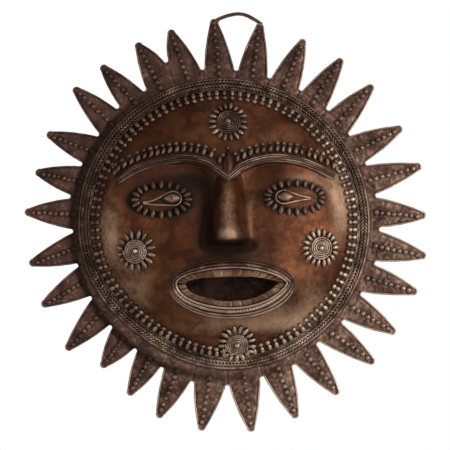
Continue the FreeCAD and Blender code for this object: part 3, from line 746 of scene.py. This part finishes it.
def face_sheet():
    """The sheet with its nose, lips and mouth hole, as a front and a back skin joined at the edges."""
    rows, cols = 104, 440
    centre = np.array([4.0, -5.0])
    turn = once_round(cols)
    rim = FLANGE_IN * np.stack([np.sin(turn), np.cos(turn)], -1)
    share = (np.arange(rows) + 0.5) / (rows - 0.5)
    flat = (centre + (rim - centre) * share[:, None, None]).reshape(-1, 2)
    x, z = flat.T
    edge_x, edge_z = mouth_line(MOUTH_EDGE, 720)
    half, rise, drop, sharp = MOUTH_EDGE
    ahead = np.clip((x - MOUTH_X) / half, -1, 1)
    power = 1 + sharp * 0.5 * (1 + ahead)
    limit = np.sqrt(1 - ahead ** 2) ** power * np.where(z > MOUTH_Z, rise, drop)
    hole = (np.abs(ahead) < 1) & (np.abs(z - MOUTH_Z - MOUTH_TILT * (x - MOUTH_X)) < limit)
    quads = grid_quads(rows, cols)
    quads = quads[~hole[quads].all(1)]
    moved = np.unique(quads[hole[quads]])
    near = np.argmin((x[moved, None] - edge_x) ** 2 + (z[moved, None] - edge_z) ** 2, axis=1)
    x[moved] = edge_x[near]
    z[moved] = edge_z[near]
    height = softened(x, z)
    spot = join(x, 0.0, z)
    inside = ease((FLANGE_IN - 3.0 - np.hypot(x, z)) / 6.0)
    uneven = 0.30 * noise(spot, 14.0, 3) + 0.14 * noise(spot, 6.0, 4) + 0.05 * noise(spot, 2.2, 5)
    front = join(x, -(height + uneven * inside), z)
    back = join(x, -(height - wall_depth(x, z) + 0.4 * noise(spot, 9.0, 6) * inside), z)
    count = len(x)
    edges = np.sort(np.concatenate([quads[:, [k, (k + 1) % 4]] for k in range(4)]), axis=1)
    edges, uses = np.unique(edges, axis=0, return_counts=True)
    border = edges[uses == 1]
    inner = border[(border < cols).all(1)]
    border = border[~(border < cols).all(1)]
    stitch = np.concatenate([border, border[:, ::-1] + count], axis=1)
    hub = np.array([[centre[0], -face_height(*centre), centre[1]]])
    hub_back = hub + [0, WALL, 0]
    fan = join(inner[:, 0], inner[:, 1], 2 * count)
    fan_back = join(inner[:, 0] + count, inner[:, 1] + count, 2 * count + 1)
    points = np.concatenate([front, back, hub, hub_back])
    wear_and_highlight = np.clip(spotted(0.06, WEAR_AND_HIGHLIGHT_SPOTS, x, z), 0, 1)
    wear_and_highlight = np.concatenate([wear_and_highlight, np.full(count, 0.05), [0.6, 0.05]])
    used = np.zeros(len(points), bool)
    faces = [quads, quads + count, stitch, fan, fan_back]
    for some in faces:
        used[some] = True
    fresh = np.cumsum(used) - 1
    lump = Lump()
    lump.add(points[used], [fresh[some] for some in faces], wear_and_highlight[used])
    facing = np.repeat([1, 0, 1, 0], [count, count, 1, 1])[used]
    # Soot, painted shadow and the painted shade between the pellets, on the front skin only.
    dirt_and_shade = lump.dirt_and_shade[0] + pellet_gap_shade(points[used, 0], points[used, 2])
    lump.dirt_and_shade[0] = np.clip(dirt_and_shade, 0, 1) * facing
    piece("face_sheet", lump, ["face_shell"], FACE)


def mouth_inside():
    """The cup behind the teeth, rough and streaked across, in a near-black patina that is painted shade.
    """
    sides = 120
    inner = [(-13.0, -20.6), (-9.5, -20.3), (-6.0, -20.0), (-2.6, -20.2), (-0.6, -21.6), (-0.2, -24.0)]
    lip = [(0.0, None), (POCKET_WALL, None)]
    outer = [(POCKET_WALL, -21.6), (POCKET_WALL - 0.2, -19.2), (POCKET_WALL - 1.2, -18.2)]
    outer += [(-6.0, -18.0), (-13.0, -18.1)]
    rings = [pocket_ring(inset, y, sides, 0.9) for inset, y in inner]
    rings += [pocket_ring(inset, y, sides, 0.1) for inset, y in lip + outer]
    lump = Lump()
    loft(lump, rings, 0.35)
    piece("mouth_inside", lump, ["mouth_pocket"], POCKET_SHADE)


def pocket_ring(inset, y, sides, rough):
    """One ring of the mouth's cup. Without a depth it stands against the back of the face sheet."""
    half, rise, drop, sharp = MOUTH_EDGE
    outline = (half + min(inset, inset * 2.2), max(0.5, rise + inset * (1.0 if inset > 0 else 0.75)),
               max(1.0, drop + inset), sharp)
    x, z = mouth_line(outline, sides)
    depth = 0.2 + wall_depth(x, z) - face_height(x, z) if y is None else y
    streak = noise(join(x * 0.25, z * 1.4, depth), 2.2, 21)
    return join(x, depth - rough * streak, z)


def rounded_block(lump, corners, wear_and_highlight):
    """A worn block with eight given corners, front four first, each four in the same order."""
    cells = 6
    power = 12.0
    line = np.linspace(-1, 1, cells + 1)
    u, v = (a.ravel() for a in np.meshgrid(line, line, indexing="ij"))
    k = np.arange(cells)
    base = (k[:, None] * (cells + 1) + k).ravel()
    quads = np.stack([base, base + 1, base + cells + 2, base + cells + 1], -1)
    for axis in range(3):
        for sign in (-1.0, 1.0):
            place = np.empty((len(u), 3))
            place[:, axis] = sign
            place[:, (axis + 1) % 3] = u
            place[:, (axis + 2) % 3] = v
            place /= (np.abs(place) ** power).sum(1, keepdims=True) ** (1 / power)
            a, b, c = ((place + 1) / 2).T
            weights = np.stack([(1 - a) * (1 - b), a * (1 - b), a * b, (1 - a) * b], -1)
            points = (weights * (1 - c)[:, None]) @ corners[:4] + (weights * c[:, None]) @ corners[4:]
            lump.add(points, [quads], wear_and_highlight)


def teeth(node, name, seed):
    """Square teeth, each a little different, where the CAD teeth stand."""
    random = np.random.RandomState(seed)
    lump = Lump()
    for points in solids_of(node):
        middle = points.mean(0)
        turn = np.arctan2(points[:, 2] - middle[2], points[:, 0] - middle[0])
        front = points[:, 1] < middle[1]
        corners = [points[some][np.argsort(turn[some])] for some in (front, ~front)]
        corners = middle + (np.concatenate(corners) - middle) * 1.12
        corners[:4, 1] += random.uniform(-0.35, 0.05)
        if node == "teeth_upper":
            corners[:, 2] += 0.2 * (corners[:, 2].max() - corners[:, 2])
        corners[:, 2] += random.uniform(-0.25, 0.25)
        shine = 0.38 + 0.35 * noise(middle, 9.0, seed) + random.uniform(-0.1, 0.1)
        rounded_block(lump, corners, shine)
    turn_outwards(piece(name, lump, [node], TOOTH).data, 0.02 * MM)


LIP_THREADS = {
    "lip_outer_wire": ((LIP_OUTER, 0.78), (LIP_SECOND, 0.80)),
    "lip_twisted_wire": ((LIP_TWIST, 1.08),),
    "lip_inner_wire": ((LIP_INNER, 0.72),),
}


def lip_wires():
    """Threads round the mouth: two plain outer ones, a twisted one, and a bright inner one."""
    for node, threads in LIP_THREADS.items():
        lump = Lump()
        for k, (outline, radius) in enumerate(threads):
            line = evenly(np.stack(mouth_line(outline, 720), -1), 0.45, True)
            path, normal = on_face(line[:, 0], line[:, 1], radius * 0.45)
            path = path + 0.12 * noise(path, 5.0, 31 + k)[:, None] * normal
            radius = radius * (1 + 0.12 * (line[:, 1] < MOUTH_Z))
            # Painted highlight: the lower lip's threads are painted brighter, where the light from below
            # falls.
            low = ease((MOUTH_Z - line[:, 1]) / 8.0)
            if node == "lip_twisted_wire":
                wear_and_highlight = 0.2 + (0.55 * low + side_light(path)) + 0.3 * noise(path, 4.0, 36)
                twine(lump, path, normal, radius[:, None], LIP_TWIST_PITCH, wear_and_highlight, closed=True)
            else:
                wear_and_highlight = (0.65 if node == "lip_inner_wire" else 0.05) + (0.6 * low + side_light(path))
                size = radius * (1 + 0.09 * noise(path, 2.4, 32 + k))
                sweep(lump, path, normal, size, wear_and_highlight + 0.25 * noise(path, 7.0, 38 + k), closed=True)
        piece(node + "_thread", lump, [node], THREAD)


def brow_path(side, above):
    """Points along one brow, a distance above its line, from the nose root outwards."""
    ends = BROW[BROW_ROOT][0], BROW[-1 if side > 0 else 0][0]
    x = np.linspace(*ends, 160)
    step = 0.5
    run = brow_line(x + step) - brow_line(x - step)
    length = np.hypot(2 * step, run)
    flat = np.stack([x - above * run / length, brow_line(x) + above * 2 * step / length], -1)
    return evenly(flat, 0.5)


def brow_wires():
    for side, node in ((-1, "brow_left_wires"), (1, "brow_right_wires")):
        lump = Lump()
        for k, above in enumerate(BROW_WIRES):
            line = brow_path(side, above)
            path, normal = on_face(line[:, 0], line[:, 1], BROW_WIRE * 0.55)
            path = path + 0.12 * noise(path, 6.0, 40 + k)[:, None] * normal
            size = BROW_WIRE * (1 + 0.07 * noise(path, 3.0, 50 + k))
            sweep(lump, path, normal, size, 0.15 + 0.4 * ease(noise(path, 12.0, 60 + k) + 0.5))
        piece(node + "_threads", lump, [node], THREAD)


def eye_rims():
    """A thread bent into a drop round each eye, its two ends laid together at the tip."""
    for node, ((cx, cz), (tx, tz), half) in EYES.items():
        side = 1.0 if cx > tx else -1.0
        turn = np.radians([110, 80, 50, 20, -20, -50, -80, -110])
        ring = np.stack([cx + side * half * EYE_ROUND * np.cos(turn), cz + half * np.sin(turn)], -1)
        neck = tx + side * 6.5
        flat = [(tx, tz + 0.3), (neck, tz + 1.5), *ring, (neck, tz - 1.3), (tx, tz - 0.3)]
        line = evenly(smooth_line(flat, 240), 0.35)
        path, normal = on_face(line[:, 0], line[:, 1], 0.45)
        lump = Lump()
        size = EYE_THREAD * (1 + 0.1 * noise(path, 2.0, 81))
        sweep(lump, path, normal, size, 0.8 + 0.3 * noise(path, 4.0, 82))
        piece(node + "_thread", lump, [node], THREAD)


def seeds(node, name, seed, blunt, width, length, wear_and_highlight, lift):
    """A wax seed or bead for each CAD pellet, placed and aimed as the CAD pellet is."""
    random = np.random.RandomState(seed)
    lump = Lump()
    for k, points in enumerate(solids_of(node)):
        middle, axes, size = frame_of(points)
        middle = middle + random.normal(0, 0.12, 3) * [1, 0, 1]
        ball = size[0] < 1.25 * size[2]
        if node == "ray_beads":
            middle = bent(middle)
            normal = FORWARD
        else:
            normal = on_face(middle[0], middle[2])[1]
        along = np.cross(normal, [0.3, 0.1, 1.0]) if ball else axes[0]
        spread = 1 + 0.1 * random.uniform(-1, 1)
        form = 0.5 if ball else blunt
        shine = wear_and_highlight * random.uniform(0.6, 1.0) + side_light(middle)
        pellet(lump, middle + lift * normal, along, normal, size[0] * spread * length,
               size[2] * width * spread, seed + k, form, shine)
    piece(name, lump, [node], BEAD)


PELLET_ROWS = [
    # CAD node, piece, seed, bluntness, width, length, wear, lift
    ("rim_round_beads", "rim_bead_row", 1000, 0.75, 1.2, 1.2, 0.7, 0),
    ("rim_seed_drops", "rim_drop_row", 2000, 0.55, 1.3, 1.1, 0.65, 0.4),
    ("brow_beads", "brow_bead_row", 3000, 0.75, 1.25, 1.25, 0.45, 0),
    ("brow_seeds", "brow_seed_row", 4000, 0.55, 1.3, 1.15, 0.4, 0.35),
    ("eye_lashes", "eye_lash_seeds", 5000, 0.55, 1.2, 1.35, 0.22, 0.35),
    ("roundel_petals", "roundel_petal_seeds", 6000, 0.7, 1.15, 1, 0.7, 0.3),
    ("ray_beads", "ray_bead_rows", 7000, 0.75, 1.35, 1.35, 0.35, 0),
]


def ring_path(radius, y, seed):
    """A slightly wavering line round the disc that follows the hand-laid rim."""
    step = 0.4
    turn = once_round(int(2 * math.pi * radius / step))
    flat = join(np.sin(turn), 0.0, np.cos(turn))
    reach = radius + rim_shift(turn) + 0.2 * noise(flat * radius, 16.0, seed)
    return flat * reach[:, None] + [0, y, 0]


def rim_rings():
    """The threads on the rim. The two braids are wound opposite ways, as a herringbone."""
    for node, threads in RIM_THREADS.items():
        lump = Lump()
        for k, (radius, wire) in enumerate(threads):
            path = ring_path(radius, -FLANGE_THICK - wire * (1 - SINK), 90 + k)
            patchy = 0.25 * noise(path, 20.0, 92) + 0.3 * noise(path, 3.0, 95)
            wear_and_highlight = 0.42 + patchy + 0.6 * side_light(path)
            if "braid" in node:
                hand = 1 if node == "rim_braid_outer" else -1
                braid(lump, path, FORWARD, wire * BRAID_SWELL, BRAID_PITCH, hand, wear_and_highlight)
            else:
                size = wire * (1 + 0.08 * noise(path, 4.0, 91 + k))
                sweep(lump, path, FORWARD, size, wear_and_highlight, closed=True)
        piece(node + "_thread", lump, [node], THREAD)


def side_light(path):
    """Painted light: the lower right of the mask is painted brighter than its upper left, as the lamps
    light it.
    """
    return 0.25 * (path[..., 0] - 0.7 * path[..., 2]) / 120.0


def rim_band():
    """The flat ring that carries the threads, with soft edges and an uneven skin."""
    turn = once_round(20)
    corner = (np.abs(np.cos(turn)) ** 6 + np.abs(np.sin(turn)) ** 6) ** (-1 / 6)
    u = corner * np.cos(turn)
    v = corner * np.sin(turn)
    turn = once_round(420)[:, None]
    outer = FLANGE_OUT + np.minimum(0.0, rim_shift(turn) + 0.5)
    inner = np.minimum(FLANGE_IN, outer - 6.0)
    reach = (outer + inner) / 2 + (outer - inner) / 2 * u
    rings = join(np.sin(turn) * reach, -FLANGE_THICK / 2 * (1 + v), np.cos(turn) * reach)
    rings[..., 1] -= 0.12 * noise(rings, 5.0, 101) * (rings[..., 1] < -FLANGE_THICK / 2)
    lump = Lump()
    loft(lump, rings, 0.2, closed=True)
    piece("rim_band", lump, ["rim_flange"], RAY)


def sides_of(node):
    """A CAD ray's root and axes, the corners of its two sides as distances along and across it,
    how far along the gap beside each of them ends, and its length."""
    points = node_mesh(node)[0]
    outline = points[points[:, 1] < points[:, 1].min() + 0.05][:, [0, 2]]
    reach = np.hypot(*outline.T)
    tip = outline[np.argmax(reach)]
    arc = outline[reach < FLANGE_OUT + 0.3]
    root = arc.mean(0)
    along = unit(tip - root)
    across = np.array([along[1], -along[0]])
    axes = np.stack([along, across])
    rest = (outline[reach >= FLANGE_OUT + 0.3] - root) @ axes.T
    sides = []
    gaps = []
    for sign in (-1, 1):
        seam = unit(arc[np.argmax((arc - root) @ across * sign)])
        side = rest[rest[:, 1] * sign > 0.02]
        side = side[np.argsort(side[:, 0])]
        place = root + side @ axes
        off = np.abs(place[:, 0] * seam[1] - place[:, 1] * seam[0])
        gaps.append(side[off < 0.08, 0].max())
        inner = (seam * (FLANGE_IN + 1.0) - root) @ axes.T
        sides.append(np.concatenate([[inner], side]))
    return root, along, across, sides, gaps, (tip - root) @ along


def ray_sheets():
    """Each ray as a hammered tapering plate. Near the rim the plates run on into one another."""
    wires = Lump()
    for index in range(1, RAY_COUNT + 1):
        node = "ray_%02d" % index
        root, along, across, sides, gaps, length = sides_of(node)
        even = np.linspace(-5.4, length - 0.04, 64)
        steps = np.unique(np.concatenate([even, sides[0][1:, 0], sides[1][1:, 0]]).round(2))
        left, right = (np.interp(steps, side[:, 0], side[:, 1]) for side in sides)
        middle = (left + right) / 2
        half = (right - left) / 2
        free = ease((steps - max(gaps) + 0.8) / 1.6)[:, None]
        lap = np.where(steps < gaps[1], RAY_LAP, 0.0)
        u = np.linspace(-1, 1, 15)
        rim = 1 - np.abs(u) ** 8 * free
        cushion = RAY_CUSHION * (1 - u ** 2) * np.clip(half[:, None] / 8, 0, 1) * free
        front_y = -(RAY_EDGE + RAY_RIM * rim + cushion)
        back_y = RAY_BACK * (rim - 1.0)
        side = middle[:, None] + half[:, None] * u
        side[:, -1] += lap
        flat = root + steps[:, None, None] * along + side[..., None] * across
        wobble = noise(join(flat[..., 0], flat[..., 1], 0.0), 3.0, 110) * free
        flat = flat + 0.18 * wobble[..., None] * across
        front = join(flat[..., 0], front_y, flat[..., 1])
        level = front * [1, 0, 1]
        relief = 0.16 * noise(level, 7.0, 111) + 0.18 * noise(level, 2.6, 112)
        relief = relief + 0.12 * noise(level, 1.3, 114)
        front[..., 1] -= relief * rim
        front[:, -1, 1] += lap * 0.4
        back = join(flat[..., 0], back_y, flat[..., 1])
        back[..., 1] -= 0.12 * rim * (1 + noise(back, 6.0, 113))
        rings = bent(np.concatenate([front, back[:, ::-1]], 1))
        patch = 0.28 + 0.6 * side_light(front) + 0.12 * noise(level, 5.0, 115)
        patch = patch + 0.34 * noise(level, 1.5, 116) + 0.15 * np.abs(u) ** 4
        lump = Lump()
        loft(lump, rings, np.concatenate([patch, np.full_like(patch, 0.1)], 1))
        piece(node + "_plate", lump, [node], RAY)
        ray_twine(wires, root, along, across, steps, left, right, gaps)
    piece("ray_edge_twine", wires, ["ray_edge_wires"], THREAD)


def ray_twine(lump, root, along, across, steps, left, right, gaps):
    """The twisted thread from the bottom of one gap, round the ray's tip, to the bottom of the next."""
    up = np.stack([steps, left], -1)[steps >= gaps[0] - 0.01]
    down = np.stack([steps, right], -1)[steps >= gaps[1] - 0.01][::-1]
    local = evenly(np.concatenate([up, down]), 0.42)
    run = unit(np.gradient(local, axis=0))
    local = local + RAY_THREAD_AWAY * np.stack([-run[:, 1], run[:, 0]], -1)
    flat = root + local @ np.stack([along, across])
    path = bent(join(flat[:, 0], RAY_THREAD_Y, flat[:, 1]))
    wear_and_highlight = 0.62 + 0.25 * noise(path, 5.0, 121) + side_light(path)
    twine(lump, path, FORWARD, RAY_THREAD, RAY_TWIST, wear_and_highlight, sides=7)


def coils():
    """Each roundel: one thread rolled up flat on a backing disc, with a bead on its middle."""
    for k, place in enumerate(("forehead", "cheek_left", "cheek_right", "chin")):
        node = "roundel_" + place
        disc, boss = sorted(solids_of(node), key=lambda points: -np.ptp(points, axis=0).max())
        middle, axes, size = frame_of(disc)
        normal = axes[2] if axes[2][1] < 0 else -axes[2]
        side = unit(np.cross(normal, [0.0, 0.0, 1.0]))
        top = np.cross(side, normal)
        radius = size[0] / 2
        pitch = radius / (COIL_TURNS + 0.3)
        turn = np.linspace(0, 2 * math.pi * COIL_TURNS, 260)
        reach = pitch * (0.55 + turn / (2 * math.pi)) * 0.97
        reach = reach + 0.07 * noise(join(turn, 0.0, 0.0), 1.3, 130 + k)
        lift = size[2] / 2 - pitch * 0.55 + 0.25
        path = middle + spokes(turn, side, top) * reach[:, None] + normal * lift
        path = evenly(path + normal * (0.55 * np.exp(-(reach / (0.55 * radius)) ** 2))[:, None], 0.4)
        lump = Lump()
        shine = 0.25 if place == "forehead" else 0.6
        sweep(lump, path, normal, pitch * 0.46, shine + 0.3 * noise(path, 3.0, 131))
        spoke = spokes(np.linspace(0, 2 * math.pi, 48, endpoint=False), side, top)
        rings = [middle + spoke * radius * a * 0.98 + normal * size[2] * b for a, b in COIL_PLATE]
        loft(lump, rings, 0.4)
        piece(node + "_coil", lump, [node], THREAD)
        knob = Lump()
        centre, _, spread = frame_of(boss)
        pellet(knob, centre, side, normal, spread[0] * 1.05, spread[0], 140 + k, 0.5, shine + 0.3, 12, 16)
        piece(node + "_boss", knob, [node], BEAD)


def leaf():
    """The pointed leaf over the nose root, ridged down its middle, and the bead at its point."""
    base, wide, top = LEAF
    z = np.linspace(base, top, 40)
    share = np.where(z < wide, (z - base) / (wide - base), (top - z) / (top - wide))
    half = LEAF_WIDE * np.sin(np.clip(share, 0, 1) * math.pi / 2) ** 0.9 + 0.12
    x0 = BROW[BROW_ROOT][0]
    u = np.linspace(-1, 1, 9)
    x = x0 + half[:, None] * u
    z = z[:, None]
    skin = face_height(x0, z)
    front = skin + 0.6 + 1.9 * (1 - np.abs(u)) * np.clip(half[:, None] / 2.5, 0, 1)
    front = np.maximum(front, face_height(x, z) + 0.45)
    rings = np.concatenate([join(x, -front, z), join(x, 1.6 - skin, z)[:, ::-1]], 1)
    lump = Lump()
    loft(lump, rings, 0.15)
    centre, _, spread = frame_of(max(solids_of("forehead_leaf"), key=len))
    pellet(lump, centre, [1, 0, 0], FORWARD, spread[0], spread[0], 151, 0.5, 0.6)
    piece("forehead_leaf_blade", lump, ["forehead_leaf"], FACE)


def pupils():
    """A smooth domed drop in the round end of each eye."""
    lump = Lump()
    for k, points in enumerate(solids_of("eye_pupils")):
        middle, axes, size = frame_of(points)
        normal = on_face(middle[0], middle[2])[1]
        pellet(lump, middle - normal * 0.2, axes[0], normal, size[0] * 1.3, size[2] * 1.15, 160 + k,
               0.55, 0.6, 20, 22)
    piece("eye_pupil_pellets", lump, ["eye_pupils"], FACE)


def loop():
    """The hanging wire: two strands side by side, flattened onto the tips of the two top rays."""
    line = evenly(smooth_line(LOOP_PATH, 160), 0.4)
    run = unit(np.gradient(line, axis=0))
    out = np.stack([-run[:, 1], run[:, 0]], -1)
    lump = Lump()
    for k, away in enumerate((0.6, -0.6)):
        waver = 0.08 * noise(join(line[:, 0], line[:, 1], 0.0), 6.0, 170 + k)
        flat = line + out * (away + waver[:, None])
        path = join(flat[:, 0], LOOP_Y, flat[:, 1])
        size = LOOP_THREAD * (1 + 0.08 * noise(path, 3.0, 172 + k))
        sweep(lump, path, FORWARD, size, 0.35, sides=10)
    for (x, z), wide, aim in LOOP_FEET:
        pellet(lump, np.array([x, -1.6, z]), aim, FORWARD, wide * 1.5, wide, 175, 0.5, 0.6, 12, 14)
    piece("hanging_loop_wire", lump, ["hanging_loop"], RAY)


face_sheet()
mouth_inside()
teeth("teeth_upper", "upper_teeth", 11)
teeth("teeth_lower", "lower_teeth", 12)
lip_wires()
brow_wires()
eye_rims()
pupils()
leaf()
coils()
for row in PELLET_ROWS:
    seeds(*row)
rim_rings()
rim_band()
ray_sheets()
loop()


# ---- Stage

def floor():
    """A plain pale disc on the ground, well below the hung mask."""
    mesh = bpy.data.meshes.new("floor")
    work = bmesh.new()
    bmesh.ops.create_circle(work, cap_ends=True, segments=96, radius=0.9)
    work.to_mesh(mesh)
    work.free()
    thing = placed("floor", mesh)
    thing.location = (DISC[0], 0.0, DISC[2] - 0.55)
    pale = bpy.data.materials.new("pale_floor")
    s = Shader(pale)
    matt = s.node("BsdfPrincipled", {"Base Color": (0.85, 0.85, 0.84, 1), "Roughness": 0.8})
    s.node("OutputMaterial", {"Surface": matt.outputs[0]})
    mesh.materials.append(pale)


def lamp(name, place, size, power):
    """A soft square lamp that faces the mask, placed from it in metres."""
    light = bpy.data.lights.new(name, "AREA")
    light.size = size
    light.energy = power
    light.color = (1.0, 0.97, 0.93)
    thing = placed(name, light)
    target = Vector((DISC[0], -0.02, DISC[2]))
    thing.location = target + Vector(place)
    thing.rotation_euler = (target - thing.location).to_track_quat("-Z", "Y").to_euler()


def world():
    """A white surround for the camera, and a dimmer grey one for what the metal reflects."""
    studio = bpy.data.worlds.new("studio")
    s = Shader(studio)
    white = s.node("Background", {"Color": (1, 1, 1, 1)}).outputs[0]
    grey = s.node("Background", {"Color": (1.0, 0.98, 0.96, 1), "Strength": 0.15}).outputs[0]
    seen = s.node("LightPath").outputs["Is Camera Ray"]
    both = s.node("MixShader", {0: seen, 1: grey, 2: white}).outputs[0]
    s.node("OutputWorld", {"Surface": both})
    bpy.context.scene.world = studio


def camera():
    """Straight in front of the mask, far enough away to see it almost flat."""
    distance = 2.5
    width = 0.315
    made = bpy.data.cameras.new("camera")
    made.angle = 2 * math.atan(width / 2 / distance)
    thing = placed("camera", made)
    thing.location = (DISC[0] + 0.00035, -distance, DISC[2] + 0.0007)
    thing.rotation_euler = (math.pi / 2, 0, 0)
    bpy.context.scene.camera = thing


floor()
lamp("key_right", (0.60, -0.52, 0.06), 0.6, 6.4)
lamp("fill_left", (-0.85, -0.62, 0.0), 0.7, 3.0)
lamp("top_soft", (0.25, -0.7, 1.0), 0.7, 2.8)
lamp("low_soft", (0.35, -0.8, -0.8), 0.6, 5.0)
lamp("back_soft", (-0.35, 0.95, 0.35), 0.8, 6.0)
world()
camera()
bpy.context.scene.view_settings.view_transform = "Standard"
